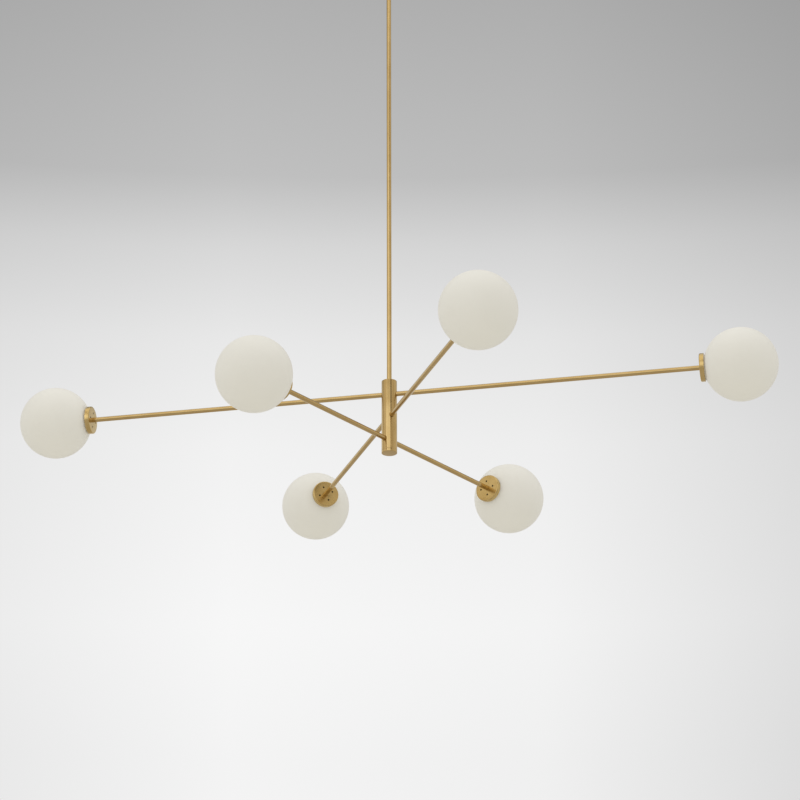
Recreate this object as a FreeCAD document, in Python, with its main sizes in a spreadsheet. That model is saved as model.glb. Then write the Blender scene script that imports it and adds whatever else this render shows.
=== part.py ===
"""Branch chandelier: six opal glass globes on three levels of straight brass arms, a tube hub, a long drop
rod and a canopy with a hang-straight ball.

Millimetres and degrees. The origin is the centre of the ceiling bracket's top face, +Z is up and +X runs
along the right-hand upper arm. A lamp's own frame has its origin at the centre of the shade holder's back
face, with +X pointing outwards to its globe.
"""
import FreeCAD, Part
import math
import os
import re
import Sketcher
from FreeCAD import Vector

# name, value, what it is
SIZES = (
    ("bracket_length", 100, "ceiling bracket, along X"),
    ("bracket_width", 22, "ceiling bracket, along Y"),
    ("bracket_thickness", 2, "ceiling bracket, steel strip"),
    ("bracket_corner", 4, "radius of its corners"),
    ("cable_hole", 10.5, "middle hole that the house cable comes through"),
    ("slot_spacing", 56, "between the middles of the two fixing slots"),
    ("slot_length", 14, "end to end"),
    ("slot_width", 5.5, "for 5 mm wood screws"),
    ("earth_screw_offset", 14, "from the middle, along -X"),
    ("earth_screw_diameter", 4, "earth screw thread"),
    ("earth_head_diameter", 8, "earth screw head"),
    ("earth_head_height", 2.6, "earth screw head"),
    ("screw_slot_width", 1.0, "driver slot"),
    ("stud_spacing", 84, "between the two canopy studs"),
    ("stud_diameter", 4, "canopy stud thread"),
    ("stud_nut_flats", 7, "lock nut on a stud, across flats"),
    ("stud_nut_height", 3.2, "lock nut on a stud"),
    ("canopy_diameter", 120, "ceiling cup"),
    ("canopy_depth", 55, "ceiling cup"),
    ("canopy_wall", 1.5, "spun brass"),
    ("canopy_corner", 6, "outer radius between the side and the floor"),
    ("dome_nut_diameter", 10, "nut under the canopy"),
    ("dome_nut_height", 8, "nut under the canopy"),
    ("dome_nut_depth", 5, "its blind thread"),
    ("dome_nut_edge", 3, "radius of its dome"),
    ("seat_neck_diameter", 29.4, "ball seat, where it passes the canopy floor"),
    ("seat_neck_length", 3.5, "ball seat, below its flange"),
    ("seat_flange_diameter", 40, "ball seat, on the canopy floor"),
    ("seat_flange_height", 4, "ball seat flange"),
    ("ball_height", 5, "ball centre above the canopy floor"),
    ("ball_diameter", 25, "hang-straight ball"),
    ("ball_flats", 21, "between the ball's two flats"),
    ("rod_diameter", 10, "drop rod tube"),
    ("rod_wall", 1, "drop rod tube"),
    ("rod_length", 1021, "drop rod, end to end"),
    ("rod_above_ball", 7, "thread that stands out of the ball's top"),
    ("rod_nut_flats", 14, "lock nut on the ball, across flats"),
    ("rod_nut_height", 5, "lock nut on the ball"),
    ("cable_diameter", 6, "mains cable in the drop rod"),
    ("cable_tail", 7, "cable that stands out of the rod's top"),
    ("plug_length", 12, "supply connector, along X"),
    ("plug_width", 9, "supply connector, along Y"),
    ("plug_height", 16, "supply connector"),
    ("plug_edge", 1, "its chamfers"),
    ("plug_entry", 2.6, "one wire entry of the connector"),
    ("plug_entry_depth", 7, "one wire entry of the connector"),
    ("plug_entry_spacing", 3.6, "between two wire entries"),
    ("hub_diameter", 32, "hub tube"),
    ("hub_length", 160, "hub with its cap"),
    ("hub_bore", 20, "wiring space in the hub"),
    ("hub_top_wall", 12, "metal that the drop rod screws into"),
    ("hub_edge", 0.8, "eased top and bottom edges"),
    ("hub_cap_thickness", 6.5, "part of the cap that shows"),
    ("hub_cap_spigot", 8, "part of the cap inside the hub"),
    ("arm_diameter", 10, "arm tube"),
    ("arm_wall", 1, "arm tube"),
    ("arm_inset", 9, "inner end of an arm from the hub's axis"),
    ("arm_thread", 7.5, "arm end beyond the holder's back face"),
    ("arm_margin", 29, "lower arms above the hub's bottom, and upper arms below its top"),
    ("middle_swing", 60, "middle arms, turned from the upper ones"),
    ("lower_swing", 116, "lower arms, turned from the upper ones"),
    ("upper_reach", 640, "hub axis to the holder's back face"),
    ("middle_reach", 454, "hub axis to the holder's back face"),
    ("lower_reach", 340, "hub axis to the holder's back face"),
    ("joint_block_length", 12, "wire joint in the hub, along the arms"),
    ("joint_block_width", 10, "wire joint in the hub, across the arms"),
    ("joint_block_height", 14, "wire joint in the hub"),
    ("lead_diameter", 3.5, "lamp lead in an arm"),
    ("holder_diameter", 58, "shade holder"),
    ("holder_depth", 9.5, "shade holder, along the arm"),
    ("holder_bore", 52, "thread that the globe's neck screws into"),
    ("holder_plate", 2, "back plate"),
    ("holder_edge", 2, "rounded back edge"),
    ("vent_circle", 31, "diameter of the circle of vents"),
    ("vent_hole", 4, "one vent"),
    ("vent_count", 4, "vents in a holder"),
    ("arm_nut_flats", 14, "lock nut on an arm, across flats"),
    ("arm_nut_height", 3, "lock nut on an arm"),
    ("stirrup_thickness", 1.2, "lampholder stirrup, steel strip"),
    ("stirrup_width", 12, "lampholder stirrup"),
    ("stirrup_reach", 20, "tips of its legs from the holder's back face"),
    ("socket_start", 9, "back of the lampholder from the holder's back face"),
    ("socket_diameter", 19, "ceramic lampholder"),
    ("socket_width", 14, "across its two flats"),
    ("socket_length", 22, "ceramic lampholder"),
    ("stirrup_screw_reach", 15, "stirrup screws from the holder's back face"),
    ("stirrup_screw_diameter", 3, "stirrup screw thread"),
    ("stirrup_screw_depth", 3, "thread inside the ceramic"),
    ("stirrup_head_diameter", 5.5, "stirrup screw head"),
    ("stirrup_head_height", 1.8, "stirrup screw head"),
    ("pinch_width", 11, "flat base of the lamp"),
    ("pinch_thickness", 5, "flat base of the lamp"),
    ("pinch_depth", 8, "flat base of the lamp inside the lampholder"),
    ("bulb_diameter", 15, "lamp capsule"),
    ("bulb_length", 45, "lamp capsule"),
    ("globe_diameter", 150, "glass globe"),
    ("neck_reach", 11.5, "root of the globe's neck from the holder's back face"),
    ("globe_wall", 3, "opal glass"),
    ("neck_diameter", 51.2, "globe neck, over its thread"),
    ("neck_root", 1.5, "radius between the neck and the globe"),
    ("gasket_diameter", 51, "rubber ring behind the neck"),
    ("gasket_bore", 44, "rubber ring behind the neck"),
    ("gasket_thickness", 1.5, "rubber ring behind the neck"),
    ("thread_play", 0.05, "radial play of a screwed or clamped joint"),
    ("slip_play", 0.3, "radial play of a moving or loose joint"),
)
SIZE = {name: value for name, value, meaning in SIZES}

# places that several sub-parts share, as formulas of the sizes
CANOPY_FLOOR = "(canopy_wall - canopy_depth)"
BALL_CENTRE = f"({CANOPY_FLOOR} + ball_height)"
BALL_TOP = f"({BALL_CENTRE} + ball_flats / 2)"
ROD_TOP = f"({BALL_TOP} + rod_above_ball)"
CABLE_TOP = f"({ROD_TOP} + cable_tail)"
HUB_BOTTOM = f"({ROD_TOP} - rod_length + hub_top_wall - hub_length)"
NECK_START = "(holder_plate + gasket_thickness)"
SOCKET_END = "(socket_start + socket_length)"
STIRRUP_INSIDE = "(socket_diameter / 2 + slip_play)"
STIRRUP_OUTSIDE = f"({STIRRUP_INSIDE} + stirrup_thickness)"
GLOBE_CENTRE = "(neck_reach + sqrt(globe_diameter ^ 2 - neck_diameter ^ 2) / 2)"
ARM_HEIGHT = {"lower": "arm_margin", "middle": "(hub_length / 2)", "upper": "(hub_length - arm_margin)"}

# lamp name, level, heading of its arm, and how far its holder stands turned when it is screwed tight
LAMPS = (
    ("upper_right", "upper", "0", 0),
    ("upper_left", "upper", "180", 0),
    ("middle_front", "middle", "-middle_swing", 0),
    ("middle_back", "middle", "180 - middle_swing", 22),
    ("lower_front", "lower", "-lower_swing", 0),
    ("lower_back", "lower", "180 - lower_swing", 3),
)
LEVELS = (("upper", "0"), ("middle", "-middle_swing"), ("lower", "-lower_swing"))
NEAR = 0.001  # how close an edge must lie to be the one that is looked for
EDGE_SAMPLES = 7
START_LENGTH = 1.0  # what a constraint measures until its formula is set

doc = FreeCAD.newDocument("branch_chandelier")
nodes = {}


def fill_sheet():
    """Put every size in the sheet, under its name."""
    sheet = doc.addObject("Spreadsheet::Sheet", "Sizes")
    for row, (name, value, meaning) in enumerate(SIZES, 1):
        sheet.set(f"A{row}", meaning)
        sheet.set(f"B{row}", str(value))
        sheet.setAlias(f"B{row}", name)
    doc.recompute()


def formula(text):
    """The text with the sheet's name before each size in it."""
    return re.sub(r"\w+", lambda word: ("Sizes." if word[0] in SIZE else "") + word[0], str(text))


def bind(thing, **formulas):
    for field, text in formulas.items():
        thing.setExpression(field, formula(text))
    return thing


def place(thing, x="0", y="0", z="0", turn="0", tip="0"):
    """Move a thing to x, y, z: first tipped from +Z towards +X, then turned about +Z."""
    vector = f"create(<<vector>>; {x}; {y}; {z})"
    rotation = f"create(<<rotation>>; {turn}; {tip}; 0)"
    return bind(thing, Placement=f"create(<<placement>>; {vector}; {rotation})")


def node(label, thing):
    """Keep a finished sub-part under its own label."""
    thing.Label = label
    nodes[label] = thing
    return thing


# simple solids and what is done with them

def bar(name, diameter, length, start="0", x="0", y="0"):
    """A round bar up from start."""
    solid = doc.addObject("Part::Cylinder", name)
    bind(solid, Radius=f"({diameter}) / 2", Height=length)
    return place(solid, x=x, y=y, z=start)


def bar_out(name, diameter, length, start="0", y="0", z="0"):
    """A round bar along +X from start."""
    solid = doc.addObject("Part::Cylinder", name)
    bind(solid, Radius=f"({diameter}) / 2", Height=length)
    return place(solid, x=start, y=y, z=z, tip="90")


def ball(name, diameter, z):
    solid = doc.addObject("Part::Sphere", name)
    bind(solid, Radius=f"({diameter}) / 2")
    return place(solid, z=z)


def block(name, length, width, height, x="0", y="0", z="0"):
    """A block with its middle at x, y, z."""
    solid = doc.addObject("Part::Box", name)
    bind(solid, Length=length, Width=width, Height=height)
    return place(solid, x=f"{x} - ({length}) / 2", y=f"{y} - ({width}) / 2", z=f"{z} - ({height}) / 2")


def hexagon(name, across_flats, height):
    """A hexagonal prism, up from its own origin."""
    solid = doc.addObject("Part::Prism", name)
    solid.Polygon = 6
    return bind(solid, Circumradius=f"({across_flats}) / sqrt(3)", Height=height)


def fuse(name, *solids):
    result = doc.addObject("Part::MultiFuse", name)
    result.Shapes = list(solids)
    return result


def cut(name, base, *tools):
    result = doc.addObject("Part::Cut", name)
    result.Base = base
    result.Tool = tools[0] if len(tools) == 1 else fuse(name + "_tools", *tools)
    return result


def common(name, *solids):
    result = doc.addObject("Part::MultiCommon", name)
    result.Shapes = list(solids)
    return result


def group(name, solids):
    """Several like solids that share one node."""
    result = doc.addObject("Part::Compound", name)
    result.Links = list(solids)
    return result


def held(thing):
    """A wrapper round a thing that is already placed, so that it can be moved again as a whole."""
    return group(thing.Name + "_held", [thing])


def tube_out(name, diameter, wall, length, start):
    outside = bar_out(name + "_outside", diameter, length, start)
    inside = bar_out(name + "_inside", f"{diameter} - 2 * {wall}", length, start)
    return cut(name, outside, inside)


# bodies made of sketches

def new_body(name):
    return doc.addObject("PartDesign::Body", name)


def origin_part(body, role):
    """One of the body's own planes or axes."""
    return next(part for part in body.Origin.OriginFeatures if part.Role == role)


def new_sketch(body, name, plane):
    sketch = body.newObject("Sketcher::SketchObject", name)
    sketch.AttachmentSupport = [(origin_part(body, plane), "")]
    sketch.MapMode = "FlatFace"
    return sketch


def hold(sketch, kind, geometry, point, text):
    """Keep a point at a formula's distance from the sketch's origin."""
    if text == "0":
        axis = -2 if kind == "DistanceX" else -1
        sketch.addConstraint(Sketcher.Constraint("PointOnObject", geometry, point, axis))
        return
    index = sketch.addConstraint(Sketcher.Constraint(kind, -1, 1, geometry, point, START_LENGTH))
    sketch.setExpression(f"Constraints[{index}]", formula(text))


def outline(body, name, plane, corners):
    """A closed outline of straight edges. It starts as a regular polygon, and its constraints carry each
    corner to its two formulas.
    """
    sketch = new_sketch(body, name, plane)
    count = len(corners)
    start = [Vector(math.cos(math.tau * i / count), math.sin(math.tau * i / count), 0) for i in range(count)]
    for i in range(count):
        sketch.addGeometry(Part.LineSegment(start[i], start[(i + 1) % count]), False)
    for i in range(count):
        sketch.addConstraint(Sketcher.Constraint("Coincident", i, 2, (i + 1) % count, 1))
    for i, (across, up) in enumerate(corners):
        hold(sketch, "DistanceX", i, 1, across)
        hold(sketch, "DistanceY", i, 1, up)
    return sketch


def circles(body, name, plane, diameter, centres):
    """Circles of one diameter, each with its middle at two formulas."""
    sketch = new_sketch(body, name, plane)
    for number, (across, up) in enumerate(centres):
        sketch.addGeometry(Part.Circle(Vector(number + 1, number + 1, 0), Vector(0, 0, 1), 1), False)
        hold(sketch, "DistanceX", number, 3, across)
        hold(sketch, "DistanceY", number, 3, up)
        index = sketch.addConstraint(Sketcher.Constraint("Diameter", number, START_LENGTH))
        sketch.setExpression(f"Constraints[{index}]", formula(diameter))
    return sketch


def revolve(body, sketch, axis):
    feature = body.newObject("PartDesign::Revolution", body.Name + "_turned")
    feature.Profile = sketch
    feature.ReferenceAxis = (sketch, [axis])
    feature.Angle = 360
    doc.recompute()
    return feature


def pad(body, sketch, length):
    """Material of this length, half of it on each side of the sketch."""
    feature = body.newObject("PartDesign::Pad", body.Name + "_pad")
    feature.Profile = sketch
    feature.Midplane = True
    bind(feature, Length=length)
    doc.recompute()
    return feature


def pocket(body, sketch, depth=None):
    """A cut through everything, or to a depth on each side of the sketch."""
    before = body.Shape.Volume
    feature = body.newObject("PartDesign::Pocket", body.Name + "_pocket")
    feature.Profile = sketch
    feature.Midplane = True
    if depth is None:
        feature.Type = "ThroughAll"
    else:
        bind(feature, Length=f"2 * ({depth})")
    doc.recompute()
    if body.Shape.Volume >= before:
        raise ValueError(f"{body.Name}: the pocket cuts nothing")
    return feature


def round_edges(body, kind, names, size):
    """A fillet or chamfer on the named edges of the body's last feature."""
    base = body.Tip
    feature = body.newObject("PartDesign::" + kind, body.Name + "_" + kind.lower())
    feature.Base = (base, names)
    bind(feature, **{"Radius" if kind == "Fillet" else "Size": size})
    doc.recompute()
    return feature


def circle_edges(shape, radius, direction, distance):
    """Names of the round edges with this radius about a direction, at a distance along it."""
    names = []
    for number, edge in enumerate(shape.Edges, 1):
        if edge.Degenerated:
            continue
        points = edge.discretize(EDGE_SAMPLES)
        along = [point.dot(direction) for point in points]
        across = [(point - direction * reach).Length for point, reach in zip(points, along)]
        if max(abs(reach - distance) for reach in along) < NEAR and max(abs(r - radius) for r in across) < NEAR:
            names.append(f"Edge{number}")
    return names


def line_edges(shape, direction):
    """Names of the straight edges that run along a direction."""
    names = []
    for number, edge in enumerate(shape.Edges, 1):
        if isinstance(edge.Curve, Part.Line) and abs(edge.Curve.Direction.dot(direction)) > 1 - NEAR:
            names.append(f"Edge{number}")
    return names


# the ceiling end

def make_bracket():
    body = new_body("bracket_strip")
    half_length = "bracket_length / 2"
    half_width = "bracket_width / 2"
    corners = (
        (half_length, half_width), ("-" + half_length, half_width),
        ("-" + half_length, "-" + half_width), (half_length, "-" + half_width),
    )
    pad(body, outline(body, "bracket_outline", "XY_Plane", corners), "bracket_thickness")
    round_edges(body, "Fillet", line_edges(body.Shape, Vector(0, 0, 1)), "bracket_corner")
    through = "3 * bracket_thickness"
    below = "-1.5 * bracket_thickness"
    tools = [bar("bracket_cable_hole", "cable_hole", through, below)]
    earth_hole = "earth_screw_diameter + 2 * thread_play"
    tools.append(bar("bracket_earth_hole", earth_hole, through, below, x="-earth_screw_offset"))
    for side in ("", "-"):
        x = f"{side}stud_spacing / 2"
        tools.append(bar("bracket_stud_hole", "stud_diameter + 2 * thread_play", through, below, x=x))
        tools.append(block("bracket_slot", "slot_length - slot_width", "slot_width", through,
                           x=f"{side}slot_spacing / 2"))
        for end in ("+", "-"):
            x = f"{side}slot_spacing / 2 {end} (slot_length - slot_width) / 2"
            tools.append(bar("bracket_slot_end", "slot_width", through, below, x=x))
    node("ceiling_bracket", place(cut("bracket_drilled", body, *tools), z="-bracket_thickness / 2"))


def make_earth_screw():
    """A pan-head screw, driven up into the bracket from below."""
    thread = bar("earth_thread", "earth_screw_diameter", "bracket_thickness", "-bracket_thickness")
    head_bottom = "(-bracket_thickness - earth_head_height)"
    head = bar("earth_head", "earth_head_diameter", "earth_head_height", head_bottom)
    slot = block("earth_slot", "2 * earth_head_diameter", "screw_slot_width", "earth_head_height",
                 z=head_bottom)
    screw = cut("earth_screw_cut", fuse("earth_screw_blank", thread, head), slot)
    node("earth_screw", place(screw, x="-earth_screw_offset"))


def make_studs():
    top = "-bracket_thickness"
    studs = []
    nuts = []
    for side in ("", "-"):
        x = f"{side}stud_spacing / 2"
        studs.append(bar("stud", "stud_diameter", "canopy_depth + dome_nut_depth - slip_play",
                         "slip_play - canopy_depth - dome_nut_depth", x=x))
        nut = cut("stud_nut", hexagon("stud_nut_hexagon", "stud_nut_flats", "stud_nut_height"),
                  bar("stud_nut_bore", "stud_diameter + 2 * thread_play", "stud_nut_height"))
        nuts.append(place(nut, x=x, z=f"{top} - stud_nut_height"))
    node("canopy_studs", group("studs", studs))
    node("stud_nuts", group("stud_nut_pair", nuts))


def make_canopy():
    """A spun cup with a round corner, a middle hole for the ball seat and two holes for the studs."""
    body = new_body("canopy_cup")
    hole = "seat_neck_diameter / 2 + slip_play"
    outer = "canopy_diameter / 2"
    inner = "canopy_diameter / 2 - canopy_wall"
    corners = (
        (hole, "-canopy_depth"), (outer, "-canopy_depth"), (outer, "0"),
        (inner, "0"), (inner, CANOPY_FLOOR), (hole, CANOPY_FLOOR),
    )
    revolve(body, outline(body, "canopy_profile", "XZ_Plane", corners), "V_Axis")
    up = Vector(0, 0, 1)
    wall = SIZE["canopy_wall"]
    radius = SIZE["canopy_diameter"] / 2
    floor = -SIZE["canopy_depth"]
    round_edges(body, "Fillet", circle_edges(body.Shape, radius, up, floor), "canopy_corner")
    round_edges(body, "Fillet", circle_edges(body.Shape, radius - wall, up, floor + wall),
                "canopy_corner - canopy_wall")
    tools = []
    for side in ("", "-"):
        tools.append(bar("canopy_stud_hole", "stud_diameter + 2 * slip_play", "3 * canopy_wall",
                         f"{CANOPY_FLOOR} - 2 * canopy_wall", x=f"{side}stud_spacing / 2"))
    node("canopy", cut("canopy_drilled", body, *tools))


def make_dome_nuts():
    nuts = []
    for side in ("", "-"):
        body = new_body("dome_nut")
        bore = "stud_diameter / 2 + thread_play"
        corners = (
            ("0", "-dome_nut_height"), ("dome_nut_diameter / 2", "-dome_nut_height"),
            ("dome_nut_diameter / 2", "0"), (bore, "0"), (bore, "-dome_nut_depth"), ("0", "-dome_nut_depth"),
        )
        revolve(body, outline(body, "dome_nut_profile", "XZ_Plane", corners), "V_Axis")
        bottom = circle_edges(body.Shape, SIZE["dome_nut_diameter"] / 2, Vector(0, 0, 1),
                              -SIZE["dome_nut_height"])
        round_edges(body, "Fillet", bottom, "dome_nut_edge")
        nuts.append(place(body, x=f"{side}stud_spacing / 2", z="-canopy_depth"))
    node("canopy_nuts", group("dome_nut_pair", nuts))


def make_ball_seat():
    """A flanged ring that turns on the canopy floor, with a spherical seat for the ball."""
    flange = bar("seat_flange", "seat_flange_diameter", "seat_flange_height", CANOPY_FLOOR)
    neck = bar("seat_neck", "seat_neck_diameter", "seat_neck_length", f"{CANOPY_FLOOR} - seat_neck_length")
    hollow = ball("seat_hollow", "ball_diameter + 2 * slip_play", BALL_CENTRE)
    node("ball_seat", cut("seat_ring", fuse("seat_blank", flange, neck), hollow))


# the drop rod and what is in it

def make_swivel_ball():
    round_part = ball("ball_round", "ball_diameter", BALL_CENTRE)
    between_flats = bar("ball_between_flats", "2 * ball_diameter", "ball_flats", f"{BALL_TOP} - ball_flats")
    bore = bar("ball_bore", "rod_diameter + 2 * thread_play", "2 * ball_flats", f"{BALL_TOP} - 1.5 * ball_flats")
    node("swivel_ball", cut("ball_bored", common("ball_flattened", round_part, between_flats), bore))


def make_drop_rod():
    bottom = f"{ROD_TOP} - rod_length"
    outside = bar("rod_outside", "rod_diameter", "rod_length", bottom)
    inside = bar("rod_inside", "rod_diameter - 2 * rod_wall", "rod_length", bottom)
    node("drop_rod", cut("rod_tube", outside, inside))
    nut = cut("rod_nut", hexagon("rod_nut_hexagon", "rod_nut_flats", "rod_nut_height"),
              bar("rod_nut_bore", "rod_diameter + 2 * thread_play", "rod_nut_height"))
    node("rod_lock_nut", place(nut, z=BALL_TOP))


def make_drop_cable():
    """The cable from the supply connector to the top wire joint in the hub."""
    end = f"{HUB_BOTTOM} + {ARM_HEIGHT['upper']} + joint_block_height / 2"
    node("drop_cable", bar("cable", "cable_diameter", f"{CABLE_TOP} - ({end})", end))


def make_supply_connector():
    """A three-way plug-in connector on the cable's end, with its wire entries on top."""
    body = new_body("connector_block")
    half_length = "plug_length / 2"
    half_width = "plug_width / 2"
    corners = (
        (half_length, half_width), ("-" + half_length, half_width),
        ("-" + half_length, "-" + half_width), (half_length, "-" + half_width),
    )
    pad(body, outline(body, "connector_outline", "XY_Plane", corners), "plug_height")
    round_edges(body, "Chamfer", line_edges(body.Shape, Vector(0, 0, 1)), "plug_edge")
    tools = []
    for way in ("-plug_entry_spacing", "0", "plug_entry_spacing"):
        tools.append(bar("connector_entry", "plug_entry", "2 * plug_entry_depth",
                         "plug_height / 2 - plug_entry_depth", x=way))
    connector = cut("connector_drilled", body, *tools)
    node("supply_connector", place(connector, z=f"{CABLE_TOP} + plug_height / 2"))


# the hub

def make_hub():
    """A thick tube with a closed top. The arms screw into three cross drillings, one at each level."""
    body = new_body("hub_turning")
    bore = "hub_bore / 2"
    outer = "hub_diameter / 2"
    rod_hole = "rod_diameter / 2 + thread_play"
    chamber_top = "hub_length - hub_top_wall"
    corners = (
        (bore, "hub_cap_thickness"), (outer, "hub_cap_thickness"), (outer, "hub_length"),
        (rod_hole, "hub_length"), (rod_hole, chamber_top), (bore, chamber_top),
    )
    revolve(body, outline(body, "hub_profile", "XZ_Plane", corners), "V_Axis")
    top = circle_edges(body.Shape, SIZE["hub_diameter"] / 2, Vector(0, 0, 1), SIZE["hub_length"])
    round_edges(body, "Fillet", top, "hub_edge")
    drills = []
    for level, swing in LEVELS:
        drill = doc.addObject("Part::Cylinder", f"{level}_drill")
        bind(drill, Radius="arm_diameter / 2 + thread_play", Height="2 * hub_diameter")
        drills.append(place(drill, x=f"-hub_diameter * cos({swing})", y=f"-hub_diameter * sin({swing})",
                            z=ARM_HEIGHT[level], turn=swing, tip="90"))
    node("hub", place(cut("hub_drilled", body, *drills), z=HUB_BOTTOM))


def make_hub_cap():
    """A disc that closes the hub's bottom flush, with a spigot that screws into the bore."""
    body = new_body("hub_cap_turning")
    spigot = "hub_bore / 2 - thread_play"
    outer = "hub_diameter / 2"
    spigot_top = "hub_cap_thickness + hub_cap_spigot"
    corners = (
        ("0", "0"), (outer, "0"), (outer, "hub_cap_thickness"),
        (spigot, "hub_cap_thickness"), (spigot, spigot_top), ("0", spigot_top),
    )
    revolve(body, outline(body, "hub_cap_profile", "XZ_Plane", corners), "V_Axis")
    bottom = circle_edges(body.Shape, SIZE["hub_diameter"] / 2, Vector(0, 0, 1), 0)
    round_edges(body, "Fillet", bottom, "hub_edge")
    node("hub_cap", place(body, z=HUB_BOTTOM))


def make_wire_joints():
    """A terminal block on the hub's axis at each level."""
    blocks = []
    for level, swing in LEVELS:
        terminal = block("wire_joint", "joint_block_length", "joint_block_width", "joint_block_height")
        blocks.append(place(held(terminal), z=f"{HUB_BOTTOM} + {ARM_HEIGHT[level]}", turn=swing))
    node("wire_joints", group("wire_joint_stack", blocks))


def make_hub_links():
    """The short cables from one wire joint to the next."""
    links = []
    for low, high in (("lower", "middle"), ("middle", "upper")):
        start = f"{HUB_BOTTOM} + {ARM_HEIGHT[low]} + joint_block_height / 2"
        length = f"{ARM_HEIGHT[high]} - {ARM_HEIGHT[low]} - joint_block_height"
        links.append(bar("link", "cable_diameter", length, start))
    return links


# one lamp and its arm

def at_lamp(thing, level, heading):
    """Move a thing from the lamp's own frame to its place on the chandelier."""
    reach = f"{level}_reach"
    return place(thing, x=f"{reach} * cos({heading})", y=f"{reach} * sin({heading})",
                 z=f"{HUB_BOTTOM} + {ARM_HEIGHT[level]}", turn=heading)


def at_hub(thing, level, heading):
    """Turn a thing that was made along +X from the hub's axis, and lift it to its level."""
    return place(thing, z=f"{HUB_BOTTOM} + {ARM_HEIGHT[level]}", turn=heading)


def make_arm(lamp, level, heading):
    length = f"{level}_reach + arm_thread - arm_inset"
    arm = tube_out(f"arm_tube_{lamp}", "arm_diameter", "arm_wall", length, "arm_inset")
    node("arm_" + lamp, at_hub(arm, level, heading))


def make_lead(lamp, level, heading):
    start = "joint_block_length / 2"
    lead = bar_out("lead_" + lamp, "lead_diameter", f"{level}_reach + socket_start - {start}", start)
    return at_hub(held(lead), level, heading)


def make_shade_holder(lamp, level, heading, vent_turn):
    """A shallow cup: a back plate with vents, and a threaded rim for the globe's neck."""
    body = new_body("cup_" + lamp)
    hole = "arm_diameter / 2 + thread_play"
    outer = "holder_diameter / 2"
    inner = "holder_bore / 2"
    corners = (
        ("0", hole), ("0", outer), ("holder_depth", outer),
        ("holder_depth", inner), ("holder_plate", inner), ("holder_plate", hole),
    )
    revolve(body, outline(body, f"cup_profile_{lamp}", "XZ_Plane", corners), "H_Axis")
    centre = (f"vent_circle / 2 * sin({vent_turn})", f"vent_circle / 2 * cos({vent_turn})")
    vent = circles(body, f"vent_{lamp}", "YZ_Plane", "vent_hole", [centre])
    first = pocket(body, vent)
    pattern = body.newObject("PartDesign::PolarPattern", "vents_" + lamp)
    pattern.Originals = [first]
    pattern.Axis = (origin_part(body, "X_Axis"), [""])
    pattern.Angle = 360
    bind(pattern, Occurrences="vent_count")
    body.Tip = pattern
    doc.recompute()
    back = circle_edges(body.Shape, SIZE["holder_diameter"] / 2, Vector(1, 0, 0), 0)
    round_edges(body, "Fillet", back, "holder_edge")
    node("shade_holder_" + lamp, at_lamp(body, level, heading))


def make_arm_nut(lamp, level, heading):
    nut = cut("arm_nut_" + lamp, hexagon("arm_nut_hexagon", "arm_nut_flats", "arm_nut_height"),
              bar("arm_nut_bore", "arm_diameter + 2 * thread_play", "arm_nut_height"))
    place(nut, x="holder_plate + stirrup_thickness", tip="90")
    return at_lamp(held(nut), level, heading)


def make_stirrup(lamp, level, heading):
    """A U of steel strip: its base is clamped on the arm, and its legs hold the lampholder."""
    body = new_body("stirrup_strip_" + lamp)
    start = "holder_plate"
    step = "holder_plate + stirrup_thickness"
    corners = (
        (start, STIRRUP_OUTSIDE), ("stirrup_reach", STIRRUP_OUTSIDE), ("stirrup_reach", STIRRUP_INSIDE),
        (step, STIRRUP_INSIDE), (step, "-" + STIRRUP_INSIDE), ("stirrup_reach", "-" + STIRRUP_INSIDE),
        ("stirrup_reach", "-" + STIRRUP_OUTSIDE), (start, "-" + STIRRUP_OUTSIDE),
    )
    pad(body, outline(body, f"stirrup_profile_{lamp}", "XZ_Plane", corners), "stirrup_width")
    base_hole = bar_out("stirrup_base_hole", "arm_diameter + 2 * thread_play", "2 * holder_plate", start="0")
    screw_hole = bar("stirrup_screw_hole", "stirrup_screw_diameter + 2 * thread_play",
                     f"4 * {STIRRUP_OUTSIDE}", f"-2 * {STIRRUP_OUTSIDE}", x="stirrup_screw_reach")
    stirrup = cut("stirrup_drilled_" + lamp, body, base_hole, screw_hole)
    node("stirrup_" + lamp, at_lamp(stirrup, level, heading))


def make_lampholder(lamp, level, heading):
    """A ceramic lampholder: a short round body with two flats and a mouth for the lamp's flat base."""
    round_part = bar_out("socket_round", "socket_diameter", "socket_length", "socket_start")
    between_flats = block("socket_between_flats", "2 * socket_length", "socket_width", "2 * socket_diameter",
                          x="socket_start + socket_length / 2")
    mouth = block("socket_mouth", "2 * pinch_depth", "pinch_thickness + 2 * thread_play",
                  "pinch_width + 2 * thread_play", x=SOCKET_END)
    tools = [mouth]
    for end in ("", "-"):
        middle = f"{end}(socket_diameter / 2)"
        tools.append(bar("socket_screw_hole", "stirrup_screw_diameter + 2 * thread_play",
                         "2 * stirrup_screw_depth", f"{middle} - stirrup_screw_depth",
                         x="stirrup_screw_reach"))
    socket = cut("socket_" + lamp, common("socket_blank", round_part, between_flats), *tools)
    node("lampholder_" + lamp, at_lamp(socket, level, heading))


def make_stirrup_screws(lamp, level, heading):
    screws = []
    thread_start = "(socket_diameter / 2 - stirrup_screw_depth)"
    for tip in ("0", "180"):
        thread = bar("stirrup_thread", "stirrup_screw_diameter", f"{STIRRUP_OUTSIDE} - {thread_start}",
                     thread_start)
        head = bar("stirrup_head", "stirrup_head_diameter", "stirrup_head_height", STIRRUP_OUTSIDE)
        screw = fuse("stirrup_screw", thread, head)
        screws.append(place(screw, x="stirrup_screw_reach", tip=tip))
    return at_lamp(group("stirrup_screws_" + lamp, screws), level, heading)


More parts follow.
